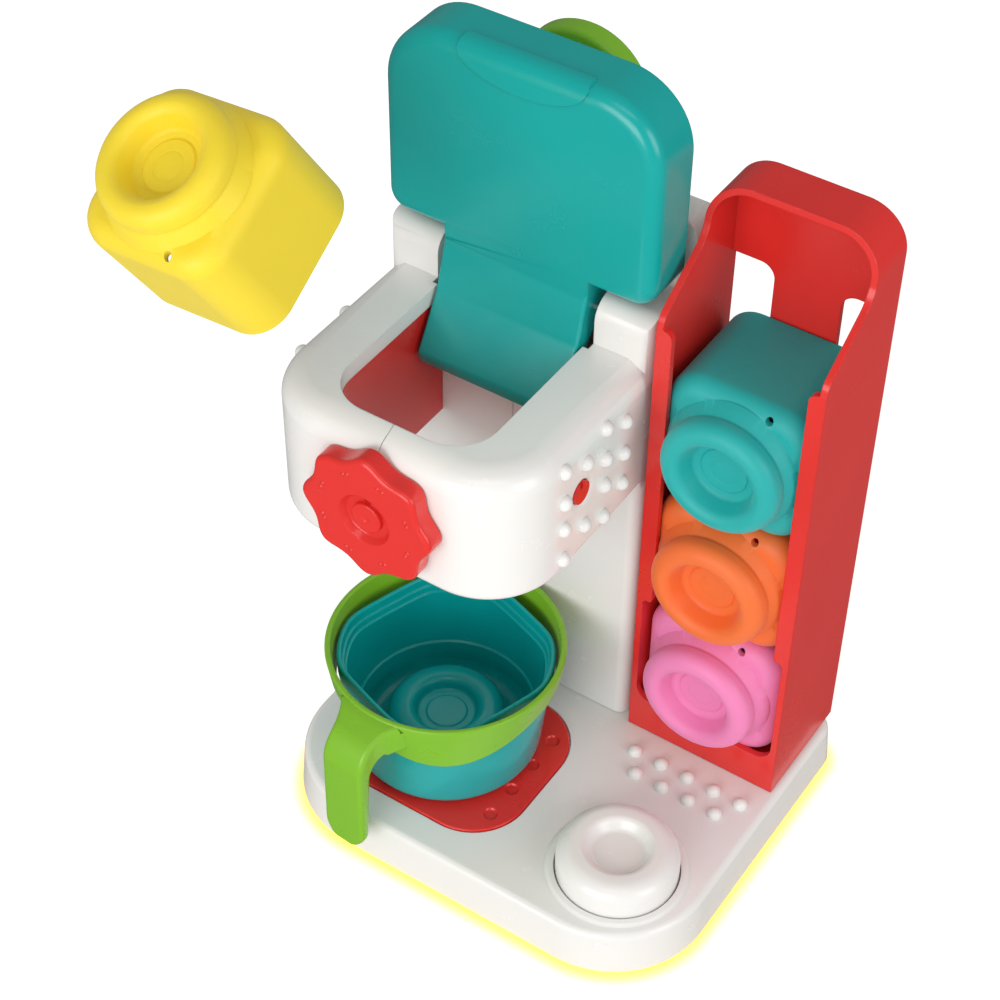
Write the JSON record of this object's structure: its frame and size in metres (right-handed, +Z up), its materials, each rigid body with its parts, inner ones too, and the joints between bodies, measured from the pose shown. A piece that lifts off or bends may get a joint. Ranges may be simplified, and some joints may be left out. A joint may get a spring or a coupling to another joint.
{
  "type": "toy coffee maker",
  "caption": "Toy coffee maker with an open lid, chamber, turning knob, press button, cup in a holder and a rack of soft pods.",
  "frame": {"origin": "middle of the base's flat underside; the four rubber feet stand 1.2 mm below it", "axes": "+Z up, +X to the machine's right as seen from its front, the front faces -Y"},
  "size_m": [0.2481, 0.2156, 0.3919],
  "materials": {
    "white_plastic": "glossy moulded ABS",
    "red_plastic": "glossy moulded ABS",
    "teal_plastic": "glossy moulded ABS",
    "green_plastic": "glossy moulded polypropylene",
    "cup_plastic": "glossy moulded polypropylene",
    "light_diffuser": "translucent diffuser",
    "soft_teal": "soft satin vinyl",
    "soft_orange": "soft satin vinyl",
    "soft_pink": "soft satin vinyl",
    "soft_yellow": "soft satin vinyl",
    "steel": "zinc plated",
    "circuit_board": "lacquered laminate",
    "dark_plastic": "moulded",
    "battery_jacket": "plain jacket",
    "foot_rubber": "matt rubber"
  },
  "bodies": {
    "machine": {"base_shell": "white_plastic", "light_ring": "light_diffuser", "base_bottom_plate": "white_plastic", "foot_1": "foot_rubber", "foot_2": "foot_rubber", "foot_3": "foot_rubber", "foot_4": "foot_rubber", "bottom_screw_1": "steel", "bottom_screw_2": "steel", "bottom_screw_3": "steel", "bottom_screw_4": "steel", "bottom_screw_5": "steel", "bottom_screw_6": "steel", "tower_screw_1": "steel", "tower_screw_2": "steel", "tower_screw_3": "steel", "tower_screw_4": "steel", "rack_screw_1": "steel", "rack_screw_2": "steel", "battery_box": "dark_plastic", "battery_1": "battery_jacket", "battery_2": "battery_jacket", "battery_3": "battery_jacket", "battery_contact_1": "steel", "battery_contact_2": "steel", "battery_door": "white_plastic", "battery_door_screw": "steel", "circuit_board": "circuit_board", "led_1": "light_diffuser", "led_2": "light_diffuser", "led_3": "light_diffuser", "led_4": "light_diffuser", "speaker": "dark_plastic", "button_switch": "dark_plastic", "button_spring": "steel", "drip_plate": "red_plastic", "tower_left_half": "white_plastic", "tower_right_half": "white_plastic", "chamber_liner": "red_plastic", "chamber_pin_1": "red_plastic", "chamber_pin_2": "red_plastic", "carry_handle": "green_plastic", "click_spring": "steel", "lid_hinge_pin_1": "steel", "lid_hinge_pin_2": "steel", "pod_rack": "red_plastic"},
    "button": {"push_button": "white_plastic"},
    "knob": {"knob": "red_plastic", "knob_shaft": "red_plastic", "click_wheel": "white_plastic", "knob_screw": "steel"},
    "lid": {"lid_shell": "teal_plastic", "lid_top_panel": "teal_plastic"},
    "holder": {"cup_holder": "green_plastic"},
    "cup": {"cup": "cup_plastic"},
    "pink_pod": {"pod_pink": "soft_pink"},
    "orange_pod": {"pod_orange": "soft_orange"},
    "teal_pod": {"pod_teal": "soft_teal"},
    "yellow_pod": {"pod_yellow": "soft_yellow"}
  },
  "joints": [
    {"name": "button_press", "type": "slide", "parent": "machine", "child": "button", "axis": [0, 0, -1], "range_m": [0, 0.003], "stiffness_N_per_m": 300, "springref_m": -0.003, "deforming": ["button_spring"]},
    {"name": "knob_turn", "type": "hinge", "parent": "machine", "child": "knob", "pos_m": [-0.0455, -0.0699, 0.2095], "axis": [0, -1, 0], "continuous": true},
    {"name": "lid_hinge", "type": "hinge", "parent": "machine", "child": "lid", "pos_m": [-0.0455, 0.0405, 0.2565], "axis": [1, 0, 0], "range_deg": [0, 90]},
    {"name": "mug_slide", "type": "slide", "parent": "machine", "child": "holder", "axis": [0, -1, 0], "range_m": [0, 0.12]},
    {"name": "cup_lift", "type": "slide", "parent": "holder", "child": "cup", "axis": [0, 0, 1], "range_m": [0, 0.06]},
    {"name": "pink_pod_lift", "type": "slide", "parent": "machine", "child": "pink_pod", "axis": [0, 0, 1], "range_m": [0, 0.02]},
    {"name": "orange_pod_lift", "type": "slide", "parent": "pink_pod", "child": "orange_pod", "axis": [0, 0, 1], "range_m": [0, 0.02]},
    {"name": "teal_pod_lift", "type": "slide", "parent": "orange_pod", "child": "teal_pod", "axis": [0, 0, 1], "range_m": [0, 0.025]},
    {"name": "yellow_pod_lift", "type": "slide", "parent": "machine", "child": "yellow_pod", "axis": [0, 0, 1], "range_m": [0, 0.05]}
  ]
}
